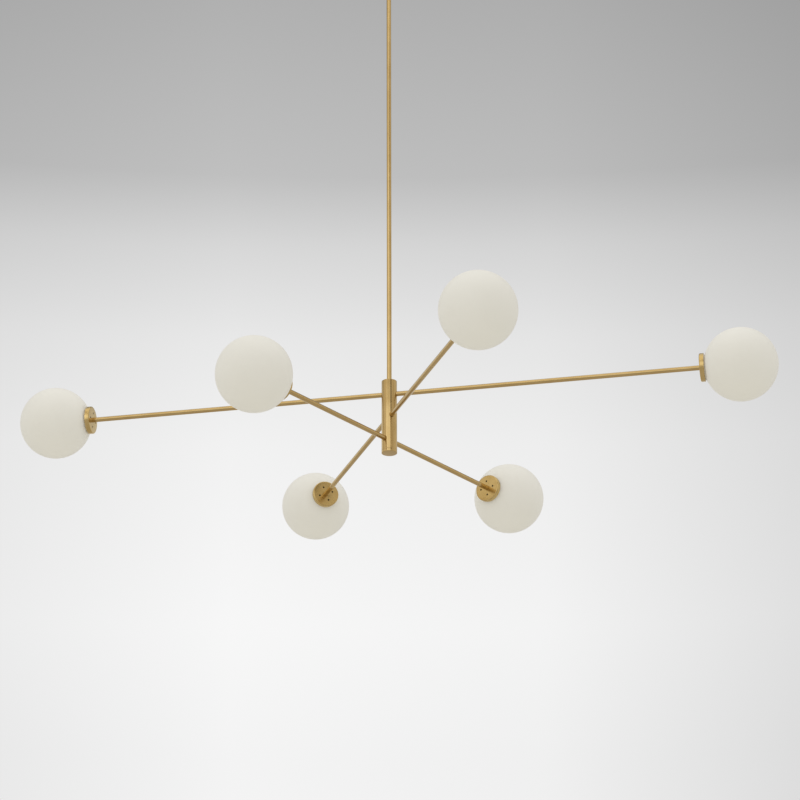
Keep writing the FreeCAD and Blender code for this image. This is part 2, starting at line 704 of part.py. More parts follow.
def make_bulb(lamp, level, heading):
    """A capsule lamp: a flat base in the lampholder and a round envelope with a domed end."""
    base = block("bulb_base", "pinch_depth", "pinch_thickness", "pinch_width",
                 x=f"{SOCKET_END} - pinch_depth / 2")
    tube = bar_out("bulb_tube", "bulb_diameter", "bulb_length - bulb_diameter / 2", SOCKET_END)
    dome = doc.addObject("Part::Sphere", "bulb_dome")
    bind(dome, Radius="bulb_diameter / 2")
    place(dome, x=f"{SOCKET_END} + bulb_length - bulb_diameter / 2", tip="90")
    node("bulb_" + lamp, at_lamp(fuse("bulb_glass_" + lamp, base, tube, dome), level, heading))


def make_gasket(lamp, level, heading):
    ring = cut("gasket_ring_" + lamp,
               bar_out("gasket_outside", "gasket_diameter", "gasket_thickness", "holder_plate"),
               bar_out("gasket_inside", "gasket_bore", "gasket_thickness", "holder_plate"))
    node("gasket_" + lamp, at_lamp(ring, level, heading))


def primitive(body, kind, name, x, **sizes):
    """A ball or bar of a body, with its axis along +X from x."""
    feature = body.newObject("PartDesign::" + kind, name)
    bind(feature, **sizes)
    return place(feature, x=x, tip="90")


def make_globe(lamp, level, heading):
    """A blown globe with a straight neck, hollow right through to the neck's open end."""
    body = new_body("glass_" + lamp)
    neck_length = f"{GLOBE_CENTRE} - {NECK_START} - globe_diameter / 4"
    primitive(body, "AdditiveSphere", "glass_outside_" + lamp, GLOBE_CENTRE, Radius="globe_diameter / 2")
    primitive(body, "AdditiveCylinder", "neck_outside_" + lamp, NECK_START,
              Radius="neck_diameter / 2", Height=neck_length)
    primitive(body, "SubtractiveSphere", "glass_inside_" + lamp, GLOBE_CENTRE,
              Radius="globe_diameter / 2 - globe_wall")
    primitive(body, "SubtractiveCylinder", "neck_inside_" + lamp, NECK_START,
              Radius="neck_diameter / 2 - globe_wall", Height=neck_length)
    doc.recompute()
    root = circle_edges(body.Shape, SIZE["neck_diameter"] / 2, Vector(1, 0, 0), SIZE["neck_reach"])
    round_edges(body, "Fillet", root, "neck_root")
    node("globe_" + lamp, at_lamp(body, level, heading))


def make_lamps():
    leads = make_hub_links()
    nuts = []
    screws = []
    for lamp, level, heading, vent_turn in LAMPS:
        make_arm(lamp, level, heading)
        make_shade_holder(lamp, level, heading, vent_turn)
        make_stirrup(lamp, level, heading)
        make_lampholder(lamp, level, heading)
        make_bulb(lamp, level, heading)
        make_gasket(lamp, level, heading)
        make_globe(lamp, level, heading)
        leads.append(make_lead(lamp, level, heading))
        nuts.append(make_arm_nut(lamp, level, heading))
        screws.append(make_stirrup_screws(lamp, level, heading))
    node("lamp_leads", group("leads", leads))
    node("arm_nuts", group("nuts", nuts))
    node("stirrup_screws", group("screws", screws))


def check_document():
    """Stop if anything failed to build, before a file is written."""
    for thing in doc.Objects:
        if "Invalid" in thing.State or "Error" in thing.State:
            raise ValueError(f"{thing.Label} failed: {thing.State}")
    for label, thing in nodes.items():
        if thing.Shape.isNull() or not thing.Shape.isValid() or not thing.Shape.Solids:
            raise ValueError(f"{label} has no valid solid")


def write_parts():
    os.makedirs("parts", exist_ok=True)
    for label, thing in nodes.items():
        thing.Shape.exportStep(f"parts/{label}.step")
        print(f"{label}: {len(thing.Shape.Solids)} solid(s), {thing.Shape.Volume:.0f} mm3")


fill_sheet()
make_bracket()
make_earth_screw()
make_studs()
make_canopy()
make_dome_nuts()
make_ball_seat()
make_swivel_ball()
make_drop_rod()
make_drop_cable()
make_supply_connector()
make_hub()
make_hub_cap()
make_wire_joints()
make_lamps()
doc.recompute()
check_document()
write_parts()
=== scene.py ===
import math

import bmesh
import bpy
from mathutils import Matrix, Vector


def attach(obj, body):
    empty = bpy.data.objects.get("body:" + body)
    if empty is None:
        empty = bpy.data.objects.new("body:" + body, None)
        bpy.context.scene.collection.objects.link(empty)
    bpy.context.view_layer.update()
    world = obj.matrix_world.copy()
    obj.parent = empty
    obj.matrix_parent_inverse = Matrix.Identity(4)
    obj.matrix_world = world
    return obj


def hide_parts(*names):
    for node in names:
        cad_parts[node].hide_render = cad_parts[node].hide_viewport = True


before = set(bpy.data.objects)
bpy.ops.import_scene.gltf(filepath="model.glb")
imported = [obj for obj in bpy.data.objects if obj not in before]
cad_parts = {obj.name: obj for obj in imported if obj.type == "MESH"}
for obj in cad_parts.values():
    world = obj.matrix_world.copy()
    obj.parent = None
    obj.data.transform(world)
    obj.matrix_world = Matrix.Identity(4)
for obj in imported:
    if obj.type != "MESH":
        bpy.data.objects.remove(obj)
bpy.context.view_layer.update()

MM = 0.001

# Lengths are in millimetres and angles in degrees.
# A pair of arms has a heading, and a height above the hub's bottom.
LEVELS = ((0, 131), (-60, 80), (-116, 29))
# A lamp has a name, its arm's heading, the length from the hub's axis to the holder's back face, the arm's
# height, and the turn of the holder's vents.
LAMPS = (
    ("upper_right", 0, 640, -1069, 0),
    ("upper_left", 180, 640, -1069, 0),
    ("middle_front", -60, 454, -1120, 0),
    ("middle_back", 120, 454, -1120, 22),
    ("lower_front", -116, 340, -1171, 0),
    ("lower_back", 64, 340, -1171, 3),
)
HUB_BOTTOM = -1200
HUB_RADIUS = 16
HUB_BORE = 10
HUB_HEIGHT = 160
HUB_CAP = 6.5
ROD_TOP = -31
ROD_LENGTH = 1021
CANOPY_RADIUS = 60
CANOPY_DEPTH = 55
CANOPY_SHEET = 1.5
STUD_OFFSET = 42
BALL_CENTRE = -48.5
TUBE_RADIUS = 5
TUBE_BORE = 4
TUBE_ROOT = 4.5
TUBE_PITCH = 1
TUBE_HOLE = 5.05
TUBE_NUT_FLATS = 14
TUBE_NUT_BORE = 10.1
HOLDER_RADIUS = 29
HOLDER_BORE = 26
HOLDER_DEPTH = 9.5
HOLDER_PLATE = 2
GLOBE_RADIUS = 75
GLOBE_WALL = 3
GLOBE_PITCH = 3
NECK_END = 3.55
SCREW_HOLE = 1.55
SCREW_HEIGHT = 15
SCREWS_ACROSS = Matrix.Translation((0, 0, SCREW_HEIGHT * MM)) @ Matrix.Rotation(math.radians(90), 4, "Y")
MIRRORED_FLOOR = (0.54, 0.51, 0.48)


# ---------------------------------------------------------------- expressions and materials

class Wire:
    """A node's output in an expression. An operator on it adds a Math node."""

    def __init__(self, finish, socket):
        self.finish = finish
        self.socket = socket

    def maths(self, operation, *values):
        return self.finish.node("ShaderNodeMath", {"operation": operation}, dict(enumerate(values)))

    def __add__(self, other):
        return self.maths("ADD", self, other)

    def __mul__(self, other):
        return self.maths("MULTIPLY", self, other)

    def __truediv__(self, other):
        return self.maths("DIVIDE", self, other)

    __radd__ = __add__

    def power(self, exponent):
        return self.maths("POWER", self, exponent)


class Finish:
    """The nodes of one material, or of the world."""

    def __init__(self, owner):
        owner.use_nodes = True
        self.tree = owner.node_tree
        self.tree.nodes.clear()

    def node(self, kind, settings, values, output=0):
        """Add a node: first its settings, then the values or links of its sockets."""
        node = self.tree.nodes.new(kind)
        for name, value in settings.items():
            if name == "stops":
                self.fill_ramp(node.color_ramp, value)
            else:
                setattr(node, name, value)
        for name, value in values.items():
            if isinstance(value, Wire):
                self.tree.links.new(value.socket, node.inputs[name])
            else:
                node.inputs[name].default_value = value
        return Wire(self, node.outputs[output]) if node.outputs else None

    @staticmethod
    def fill_ramp(ramp, stops):
        while len(ramp.elements) < len(stops):
            ramp.elements.new(0.5)
        for element, (position, colour) in zip(ramp.elements, stops):
            element.position = position
            element.color = colour

    def ramp(self, factor, *stops):
        """A colour ramp over a factor. A stop is a position and a grey or a colour."""
        full = [(at, (c, c, c, 1) if isinstance(c, (int, float)) else (*c, 1)) for at, c in stops]
        return self.node("ShaderNodeValToRGB", {"stops": full}, {0: factor})

    def place(self, scale=(1, 1, 1), turn=(0, 0, 0)):
        """Coordinates of a pattern, in metres before they are scaled."""
        vector = self.node("ShaderNodeTexCoord", {}, {}, output="Object")
        return self.node("ShaderNodeMapping", {}, {"Vector": vector, "Rotation": turn, "Scale": scale})

    def noise(self, vector, scale, detail=2.0, roughness=0.5):
        values = {"Vector": vector, "Scale": scale, "Detail": detail, "Roughness": roughness}
        return self.node("ShaderNodeTexNoise", {}, values)

    def mix(self, factor, first, second):
        """Two colours mixed by a factor."""
        colours = {6: (*first, 1) if isinstance(first, tuple) else first,
                   7: (*second, 1) if isinstance(second, tuple) else second}
        return self.node("ShaderNodeMix", {"data_type": "RGBA"}, {0: factor, **colours}, output=2)

    def bump(self, height, distance, strength):
        values = {"Height": height, "Distance": distance, "Strength": strength}
        return self.node("ShaderNodeBump", {}, values)

    def surface(self, **values):
        """The Principled shader on the material's output."""
        named = {name.replace("_", " "): value for name, value in values.items()}
        shader = self.node("ShaderNodeBsdfPrincipled", {}, named)
        self.node("ShaderNodeOutputMaterial", {}, {"Surface": shader})


def new_finish(name):
    material = bpy.data.materials.new(name)
    return material, Finish(material)


def brass(name, grain, turn=0.0, tone=1.0):
    """Satin brass. The grain is a pattern's scale along each axis, fine across the polishing marks."""
    material, finish = new_finish(name)
    along = finish.place(scale=grain, turn=(0, 0, turn))
    streaks = finish.noise(along, 1.0, detail=4.0, roughness=0.65)
    clouds = finish.noise(finish.place(), 26.0, detail=3.0)
    spots = finish.noise(finish.place(), 140.0)
    shade = finish.ramp(streaks * 0.7 + clouds * 0.3, (0.32, 0.0), (0.68, 1.0))
    dark = tuple(c * tone for c in (0.49, 0.335, 0.13))
    light = tuple(c * tone for c in (0.68, 0.507, 0.240))
    colour = finish.mix(shade, dark, light)
    roughness = 0.08 + streaks * 0.08 + clouds * 0.05 + spots * 0.02
    height = streaks * 0.6 + spots * 0.4
    finish.surface(Base_Color=colour, Metallic=1.0, Roughness=roughness,
                   Normal=finish.bump(height, 0.00003, 0.5))
    return material


tube_metals = {}


def tube_metal(heading):
    """Satin brass with its polishing marks along an arm of this heading."""
    line = heading % 180
    if line not in tube_metals:
        tube_metals[line] = brass(f"satin_brass_tube_{line}", (9, 700, 700), turn=math.radians(-line))
    return tube_metals[line]


def turned_brass(name):
    """Satin brass with the fine rings that a lathe leaves round a piece's own axis."""
    material, finish = new_finish(name)
    local = finish.node("ShaderNodeAttribute", {"attribute_name": "lathe"}, {}, output="Vector")
    parts = [finish.node("ShaderNodeSeparateXYZ", {}, {0: local}, output=axis) for axis in "XYZ"]
    radius = (parts[0] * parts[0] + parts[1] * parts[1]).power(0.5)
    scale = 2600
    rings_at = finish.node("ShaderNodeCombineXYZ", {}, {"X": radius * scale, "Y": parts[2] * scale})
    rings = finish.noise(rings_at, 1.0, detail=3.0, roughness=0.6)
    clouds = finish.noise(local, 30.0, detail=3.0)
    shade = finish.ramp(rings * 0.45 + clouds * 0.55, (0.32, 0.0), (0.68, 1.0))
    colour = finish.mix(shade, (0.53, 0.37, 0.135), (0.71, 0.535, 0.24))
    finish.surface(Base_Color=colour, Metallic=1.0,
                   Roughness=0.15 + rings * 0.06 + clouds * 0.08,
                   Normal=finish.bump(rings, 0.00003, 0.5))
    return material


def opal_glass():
    """Matt opal glass, a little warmer in places, with a barely visible cloud in it."""
    material, finish = new_finish("opal_glass_etched")
    clouds = finish.noise(finish.place(), 9.0, detail=3.0)
    frost = finish.noise(finish.place(), 2200.0)
    colour = finish.mix(clouds, (0.800, 0.775, 0.695), (0.845, 0.822, 0.750))
    finish.surface(Base_Color=colour, Roughness=0.52 + clouds * 0.08, IOR=1.5, Specular_IOR_Level=0.35,
                   Normal=finish.bump(frost, 0.00001, 0.3))
    return material


def zinc_steel():
    material, finish = new_finish("zinc_plated_steel")
    crystals = finish.node("ShaderNodeTexVoronoi", {}, {"Vector": finish.place(), "Scale": 900.0})
    clouds = finish.noise(finish.place(), 60.0, detail=3.0)
    colour = finish.mix(clouds, (0.50, 0.51, 0.53), (0.68, 0.69, 0.70))
    finish.surface(Base_Color=colour, Metallic=1.0, Roughness=0.30 + clouds * 0.15,
                   Normal=finish.bump(crystals, 0.00002, 0.4))
    return material


def moulded(name, dark, light, roughness, grain_scale, depth):
    """A plain moulded or fired surface with a fine grain."""
    material, finish = new_finish(name)
    grain = finish.noise(finish.place(), grain_scale, detail=3.0)
    clouds = finish.noise(finish.place(), 40.0)
    finish.surface(Base_Color=finish.mix(clouds, dark, light), Roughness=roughness + clouds * 0.10,
                   Normal=finish.bump(grain, depth, 0.5))
    return material


def frosted_capsule():
    material, finish = new_finish("frosted_lamp_glass")
    clouds = finish.noise(finish.place(), 120.0)
    finish.surface(Base_Color=finish.mix(clouds, (0.86, 0.85, 0.80), (0.93, 0.92, 0.88)),
                   Roughness=0.28 + clouds * 0.12, IOR=1.5, Coat_Weight=0.4, Coat_Roughness=0.12)
    return material


# ---------------------------------------------------------------- modelling

def round_off(mesh, corner, rounding, segments):
    """Round a corner of an outline."""
    bmesh.ops.bevel(mesh, geom=[corner], offset=rounding * MM, offset_type="OFFSET", segments=segments,
                    profile=0.5, affect="VERTICES", material=-1)


class Outline:
    """The outline of a turned piece, drawn point after point in millimetres from the axis and up it."""

    def __init__(self):
        self.mesh = bmesh.new()
        self.points = []
        self.roundings = []

    def corner(self, radius, height, rounding=0.0):
        point = self.mesh.verts.new((radius * MM, 0, height * MM))
        if self.points:
            self.mesh.edges.new((self.points[-1], point))
        self.points.append(point)
        if rounding:
            self.roundings.append((point, rounding))
        return self

    def arc(self, centre, angle, steps):
        """Swing the last point round a place on the axis, from +Z towards +X."""
        swept = bmesh.ops.spin(self.mesh, geom=[self.points[-1]], cent=(0, 0, centre * MM), axis=(0, 1, 0),
                               angle=math.radians(angle), steps=steps)
        self.points.append(next(part for part in swept["geom_last"] if isinstance(part, bmesh.types.BMVert)))
        return self

    def rounded_here(self, rounding):
        self.roundings.append((self.points[-1], rounding))
        return self

    def spun(self, steps=96, closed=True):
        """Turn the outline into a solid. One that isn't closed starts and ends on the axis."""
        if closed:
            self.mesh.edges.new((self.points[-1], self.points[0]))
        for point, rounding in self.roundings:
            round_off(self.mesh, point, rounding, 6)
        bmesh.ops.spin(self.mesh, geom=self.mesh.verts[:] + self.mesh.edges[:], cent=(0, 0, 0),
                       axis=(0, 0, 1), angle=math.tau, steps=steps, use_merge=True)
        bmesh.ops.remove_doubles(self.mesh, verts=self.mesh.verts[:], dist=1e-6)
        bmesh.ops.recalc_face_normals(self.mesh, faces=self.mesh.faces[:])
        return self.mesh


def turned(corners, steps=96, closed=True):
    """A solid turned about +Z from corners of (radius, height, rounding)."""
    outline = Outline()
    for corner in corners:
        outline.corner(*corner)
    return outline.spun(steps, closed)


def cylinder(radius, start, end, steps=48, place=Matrix()):
    """A plain round bar between two heights."""
    mesh = bmesh.new()
    middle = Matrix.Translation((0, 0, (start + end) / 2 * MM))
    bmesh.ops.create_cone(mesh, cap_ends=True, segments=steps, radius1=radius * MM, radius2=radius * MM,
                          depth=(end - start) * MM, matrix=place @ middle)
    return mesh


def slab(corners, thickness, edge=0.0, place=Matrix()):
    """A flat outline of (x, y, rounding) corners, this thick about its own plane, with eased edges."""
    mesh = bmesh.new()
    points = [mesh.verts.new((x * MM, y * MM, -thickness / 2 * MM)) for x, y, rounding in corners]
    mesh.faces.new(points)
    for point, (x, y, rounding) in zip(points, corners):
        if rounding:
            round_off(mesh, point, rounding, 8)
    grown = bmesh.ops.extrude_face_region(mesh, geom=mesh.faces[:])
    lifted = [part for part in grown["geom"] if isinstance(part, bmesh.types.BMVert)]
    bmesh.ops.translate(mesh, verts=lifted, vec=(0, 0, thickness * MM))
    bmesh.ops.recalc_face_normals(mesh, faces=mesh.faces[:])
    if edge:
        rims = [line for line in mesh.edges if line.calc_face_angle() > math.radians(60)]
        bmesh.ops.bevel(mesh, geom=rims, offset=edge * MM, offset_type="OFFSET", segments=3, profile=0.5,
                        affect="EDGES", material=-1)
    mesh.transform(place)
    return mesh


def box(length, width, thickness, edge=0.0, place=Matrix(), rounding=0.0):
    x, y = length / 2, width / 2
    return slab([(x, y, rounding), (-x, y, rounding), (-x, -y, rounding), (x, -y, rounding)], thickness, edge,
                place)


def at(x=0, y=0, z=0, turn=0, axis="Z"):
    """A place in millimetres, after a turn in degrees about one axis."""
    return Matrix.Translation((x * MM, y * MM, z * MM)) @ Matrix.Rotation(math.radians(turn), 4, axis)


def sweep_up_a_helix(mesh, pitch, turns, steps):
    """Spin all of a mesh up a right-handed helix."""
    bmesh.ops.spin(mesh, geom=mesh.verts[:] + mesh.edges[:] + mesh.faces[:], cent=(0, 0, 0), axis=(0, 0, 1),
                   dvec=(0, 0, pitch / steps * MM), angle=math.tau * turns, steps=round(steps * turns))


def helix_ridge(base, crest, start, turns):
    """The ridge of a globe's thread from a base radius to a crest, fading out at both ends."""
    foot, tip, steps, fading = 1.9, 0.7, 64, 12
    points = ((base, start - foot / 2), (crest, start - tip / 2),
              (crest, start + tip / 2), (base, start + foot / 2))
    mesh = bmesh.new()
    mesh.faces.new([mesh.verts.new((radius * MM, 0, height * MM)) for radius, height in points])
    sweep_up_a_helix(mesh, GLOBE_PITCH, turns, steps)
    last = round(steps * turns)
    for number, point in enumerate(mesh.verts):
        reach = math.hypot(point.co.x, point.co.y) / MM
        if abs(reach - crest) < abs(reach - base):
            step = number // len(points)
            fade = min(1.0, step / fading, (last - step) / fading)
            faded = (base + (crest - base) * fade) / reach
            point.co.x, point.co.y = point.co.x * faded, point.co.y * faded
    return facing_out(mesh)


def facing_out(mesh):
    """The mesh of a closed shape, with every face towards the outside."""
    bmesh.ops.recalc_face_normals(mesh, faces=mesh.faces[:])
    if mesh.calc_volume(signed=True) < 0:
        bmesh.ops.reverse_faces(mesh, faces=mesh.faces[:])
    return mesh


def threaded_bar(crest, root, pitch, start, end, steps, bore=0.0):
    """A bar or tube with a screw thread all along it and chamfered ends."""
    low = start - pitch
    turn = bmesh.new()
    profile = ((root, 0), (crest, 0.42), (crest, 0.58), (root, 1))
    corners = [turn.verts.new((radius * MM, 0, (low + part * pitch) * MM)) for radius, part in profile]
    for first, second in zip(corners, corners[1:]):
        turn.edges.new((first, second))
    sweep_up_a_helix(turn, pitch, 1, steps)
    turns = range(math.ceil((end - start) / pitch) + 2)
    mesh = joined([placed(turn, at(z=number * pitch)) for number in turns])
    turn.free()
    bmesh.ops.remove_doubles(mesh, verts=mesh.verts[:], dist=1e-6)
    bmesh.ops.holes_fill(mesh, edges=[line for line in mesh.edges if line.is_boundary])
    facing_out(mesh)
    chamfer = crest - root + 0.1
    blank = turned([(0, start), (root - 0.1, start), (crest + 0.1, start + 2 * chamfer),
                    (crest + 0.1, end - 2 * chamfer), (root - 0.1, end), (0, end)], steps=steps, closed=False)
    mesh = combined("INTERSECT", mesh, blank)
    return combined("DIFFERENCE", mesh, cylinder(bore, start - 1, end + 1, steps)) if bore else mesh


def hex_nut(flats, height, bore):
    """A hexagonal nut with chamfered corners and a countersunk bore, up from its own origin."""
    corner, washer = flats / math.sqrt(3), flats * 0.475
    rise = (corner + 0.1 - washer) * math.tan(math.radians(30))
    prism = cylinder(corner, -1, height + 1, 6, at(turn=30))
    blank = turned([(0, 0), (washer, 0), (corner + 0.1, rise), (corner + 0.1, height - rise),
                    (washer, height), (0, height)], steps=96, closed=False)
    blank.transform(at(turn=1))
    sink = 0.08 * bore
    hole = turned([(0, -1), (bore / 2 + sink + 1, -1), (bore / 2, sink), (bore / 2, height - sink),
                   (bore / 2 + sink + 1, height + 1), (0, height + 1)], steps=48, closed=False)
    return combined("DIFFERENCE", combined("INTERSECT", prism, blank), hole)


def pan_screw(shank, length, head, rise, slot, depth):
    """A pan-headed screw with a driver slot, its head's underside at its own origin and its shank below."""
    blank = turned([(0, -length), (shank / 2, -length, shank * 0.12), (shank / 2, 0), (head / 2, 0, 0.12),
                    (head / 2, rise, rise * 0.5), (0, rise)], steps=64, closed=False)
    return combined("DIFFERENCE", blank, box(slot, head * 2, 2 * depth, place=at(z=rise)))


def new_object(name, mesh):
    data = bpy.data.meshes.new(name)
    mesh.to_mesh(data)
    mesh.free()
    thing = bpy.data.objects.new(name, data)
    bpy.context.scene.collection.objects.link(thing)
    return thing


def combined(operation, mesh, *tools):
    """The mesh cut by, joined to or kept within the tools, which don't touch one another."""
    thing = new_object("blank", mesh)
    tool = new_object("tool", joined(tools))
    modifier = thing.modifiers.new("shape", "BOOLEAN")
    modifier.operation = operation
    modifier.solver = "EXACT"
    modifier.object = tool
    bpy.context.view_layer.update()
    done = bpy.data.meshes.new_from_object(thing.evaluated_get(bpy.context.evaluated_depsgraph_get()))
    result = bmesh.new()
    result.from_mesh(done)
    bmesh.ops.remove_doubles(result, verts=result.verts[:], dist=1e-7)
    for leftover in (thing, tool):
        bpy.data.objects.remove(leftover)
    bpy.data.meshes.remove(done)
    return result


def joined(meshes):
    """Several meshes as one."""
    result = meshes[0]
    for other in meshes[1:]:
        data = bpy.data.meshes.new("part")
        other.to_mesh(data)
        other.free()
        result.from_mesh(data)
        bpy.data.meshes.remove(data)
    return result


def placed(mesh, place):
    """A copy of a mesh at a place."""
    copy = mesh.copy()
    copy.transform(place)
    return copy


def piece(name, mesh, material, body, node, place=Matrix(), bend=32):
    """A finished piece: it keeps its lathe coordinates, and goes to its place in its mesh."""
    thing = new_object(name, mesh)
    data = thing.data
    places = [0.0] * (3 * len(data.vertices))
    data.vertices.foreach_get("co", places)
    lathe = data.attributes.new("lathe", "FLOAT_VECTOR", "POINT")
    lathe.data.foreach_set("vector", places)
    data.transform(place)
    data.shade_smooth()
    data.set_sharp_from_angle(angle=math.radians(bend))
    data.materials.append(material)
    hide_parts(node)
    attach(thing, body)


def lamp_place(heading, reach, height):
    """From the lamp's own lathe, with +Z out of the holder's back face towards the globe."""
    turn = Matrix.Rotation(math.radians(heading), 4, "Z")
    tip = Matrix.Rotation(math.radians(90), 4, "Y")
    return Matrix.Translation((0, 0, height * MM)) @ turn @ Matrix.Translation((reach * MM, 0, 0)) @ tip


# ---------------------------------------------------------------- camera, room and lamps

def make_camera():
    """The photograph's view, from below the chandelier and in front of it."""
    data = bpy.data.cameras.new("camera")
    data.sensor_fit = "HORIZONTAL"
    data.sensor_width = 36
    data.lens = 108.9
    data.clip_end = 100
    camera = bpy.data.objects.new("camera", data)
    bpy.context.scene.collection.objects.link(camera)
    turn = Matrix.Rotation(math.radians(11.714), 4, "Z")
    pitch = Matrix.Rotation(math.radians(90 + 23.457), 4, "X")
    roll = Matrix.Rotation(math.radians(-0.18), 4, "Z")
    camera.matrix_world = Matrix.Translation((0.9507, -4.4762, -3.067)) @ turn @ pitch @ roll
    bpy.context.scene.camera = camera


def make_world():
    """A pale studio that darkens overhead and to the right. Metal also mirrors a bright wall and a dark
    stand near the camera, and a dimmer floor."""
    world = bpy.data.worlds.new("studio")
    bpy.context.scene.world = world
    finish = Finish(world)
    direction = finish.node("ShaderNodeTexCoord", {}, {}, output="Generated")
    x, y, z = (finish.node("ShaderNodeSeparateXYZ", {}, {0: direction}, output=axis) for axis in "XYZ")
    upward = finish.ramp(z, (0.26, 0.90), (0.31, 0.93), (0.38, 0.885), (0.42, 0.81), (0.455, 0.68),
                         (0.48, 0.525), (0.55, 0.425))
    across = finish.ramp(x * 0.979 + y * 0.203 + 0.5, (0.33, 0.90), (0.43, 1.0), (0.56, 0.965), (0.67, 0.79))
    seen = upward * across
    flat = (x * x + y * y + 0.0001).power(0.5)
    towards_wall = (y * -0.998 + x * -0.061) / flat
    towards_stand = (x * 0.612 + y * -0.791) / flat
    towards_side = (x * 0.95 + y * 0.31) / flat
    wide = finish.ramp(towards_wall, (0.845, 0.0), (0.87, 1.0))
    wall = wide * finish.ramp(z, (0.42, 1.0), (0.465, 0.3), (0.60, 0.1))
    narrow = finish.ramp(towards_stand, (0.991, 0.0), (0.9975, 1.0))
    raised = finish.ramp(z, (0.362, 0.0), (0.385, 1.0))
    side = finish.ramp(towards_side, (0.85, 0.0), (0.98, 1.0))
    room = finish.mix(wall, (0.63, 0.575, 0.50), (1.16, 1.14, 1.11))
    room = finish.mix(narrow * raised, room, (0.05, 0.035, 0.02))
    behind = finish.ramp(towards_wall, (0.0, 1.0), (0.1, 0.0))
    mirrored = finish.mix(behind, room, seen)
    mirrored = finish.mix(side, mirrored, (0.72, 0.67, 0.60))
    floor = finish.ramp(z * 0.5 + 0.5, (0.33, 1.0), (0.52, 0.0))
    mirrored = finish.mix(floor, mirrored, MIRRORED_FLOOR)
    camera, glossy, through = (finish.node("ShaderNodeLightPath", {}, {}, output=f"Is {kind} Ray")
                               for kind in ("Camera", "Glossy", "Transmission"))
    shown = camera.maths("MAXIMUM", camera.maths("MAXIMUM", camera, glossy), through)
    lighting = finish.node("ShaderNodeBackground", {}, {"Color": (1.0, 1.0, 1.0, 1), "Strength": 0.815})
    backdrop = finish.node("ShaderNodeBackground", {}, {"Color": finish.mix(glossy, seen, mirrored)})
    mixed = finish.node("ShaderNodeMixShader", {}, {0: shown, 1: lighting, 2: backdrop})
    finish.node("ShaderNodeOutputWorld", {}, {"Surface": mixed})


def make_floor():
    """A plain pale floor under the chandelier. Metal mirrors it dimmer than it lights the glass."""
    mesh = bmesh.new()
    bmesh.ops.create_circle(mesh, cap_ends=True, segments=96, radius=14,
                            matrix=Matrix.Translation((0, 0, -3.45)))
    floor = new_object("floor", mesh)
    material, finish = new_finish("floor_paint")
    clouds = finish.noise(finish.place(), 1.5)
    paint = finish.node("ShaderNodeBsdfPrincipled", {}, {
        "Base Color": finish.mix(clouds, (0.89, 0.875, 0.82), (0.91, 0.895, 0.84)), "Roughness": 0.8})
    mirrored = finish.node("ShaderNodeEmission", {}, {"Color": (*MIRRORED_FLOOR, 1)})
    glossy = finish.node("ShaderNodeLightPath", {}, {}, output="Is Glossy Ray")
    mixed = finish.node("ShaderNodeMixShader", {}, {0: glossy, 1: paint, 2: mirrored})
    finish.node("ShaderNodeOutputMaterial", {}, {"Surface": mixed})
    floor.data.materials.append(material)


def softbox(name, place, target, width, height, power):
    data = bpy.data.lights.new(name, "AREA")
    data.shape = "RECTANGLE"
    data.size = width
    data.size_y = height
    data.energy = power
    lamp = bpy.data.objects.new(name, data)
    bpy.context.scene.collection.objects.link(lamp)
    away = Vector(place) - Vector(target)
    lamp.matrix_world = Matrix.Translation(place) @ away.to_track_quat("Z", "Y").to_matrix().to_4x4()


def make_lights():
    middle = (0, 0, -1.1)
    softbox("overhead_softbox", (0.3, -0.6, 2.2), middle, 5.0, 5.0, 34)
    softbox("left_softbox", (-3.4, -3.0, 0.2), middle, 4.0, 4.6, 11)


# ---------------------------------------------------------------- the pieces

def globe_shape():
    """A blown ball of opal glass with a drawn neck that carries a thread, open at the neck's end."""
    thread, neck, shoulder = 25.6, 24.9, 11.5
    centre = shoulder + math.sqrt(GLOBE_RADIUS ** 2 - thread ** 2)
    inner, bore = GLOBE_RADIUS - GLOBE_WALL, thread - GLOBE_WALL
    outline = Outline().corner(0, centre + GLOBE_RADIUS)
    outline.arc(centre, 180 - math.degrees(math.asin(neck / GLOBE_RADIUS)), 80).rounded_here(1.6)
    outline.corner(neck, NECK_END, 0.6).corner(bore, NECK_END, 0.5)
    outline.corner(bore, centre - math.sqrt(inner ** 2 - bore ** 2), 1.0)
    outline.arc(centre, -(180 - math.degrees(math.asin(bore / inner))), 64)
    ridge = helix_ridge(neck - 0.3, thread, 5.0, 1.3)
    return combined("UNION", outline.spun(128, closed=False), ridge)


def holder_shape():
    """A turned cup with a rounded back edge and a thread inside its rim."""
    cup = turned([(TUBE_HOLE, 0, 0.25), (HOLDER_RADIUS, 0, 2.0), (HOLDER_RADIUS, HOLDER_DEPTH, 0.45),
                  (HOLDER_BORE, HOLDER_DEPTH, 0.4), (HOLDER_BORE, HOLDER_PLATE, 0.6),
                  (TUBE_HOLE, HOLDER_PLATE, 0.25)], steps=128)
    ridge = helix_ridge(HOLDER_BORE + 0.3, HOLDER_BORE - 0.75, 3.5, 1.37)
    ridge.transform(at(z=GLOBE_PITCH / 3, turn=120))
    return combined("UNION", cup, ridge)


def vent_drills(turn):
    return [cylinder(2.0, -4, 6, 32, at(turn=90 * quarter - turn) @ at(15.5)) for quarter in range(4)]


def arm_shape(reach, thread):
    """An arm's tube, with the thread that passes the shade holder."""
    start = 9 - reach
    tube = turned([(TUBE_BORE, start, 0.3), (TUBE_RADIUS, start, 0.3), (TUBE_RADIUS, 0), (TUBE_BORE, 0)],
                  steps=64)
    return joined([tube, thread.copy()])


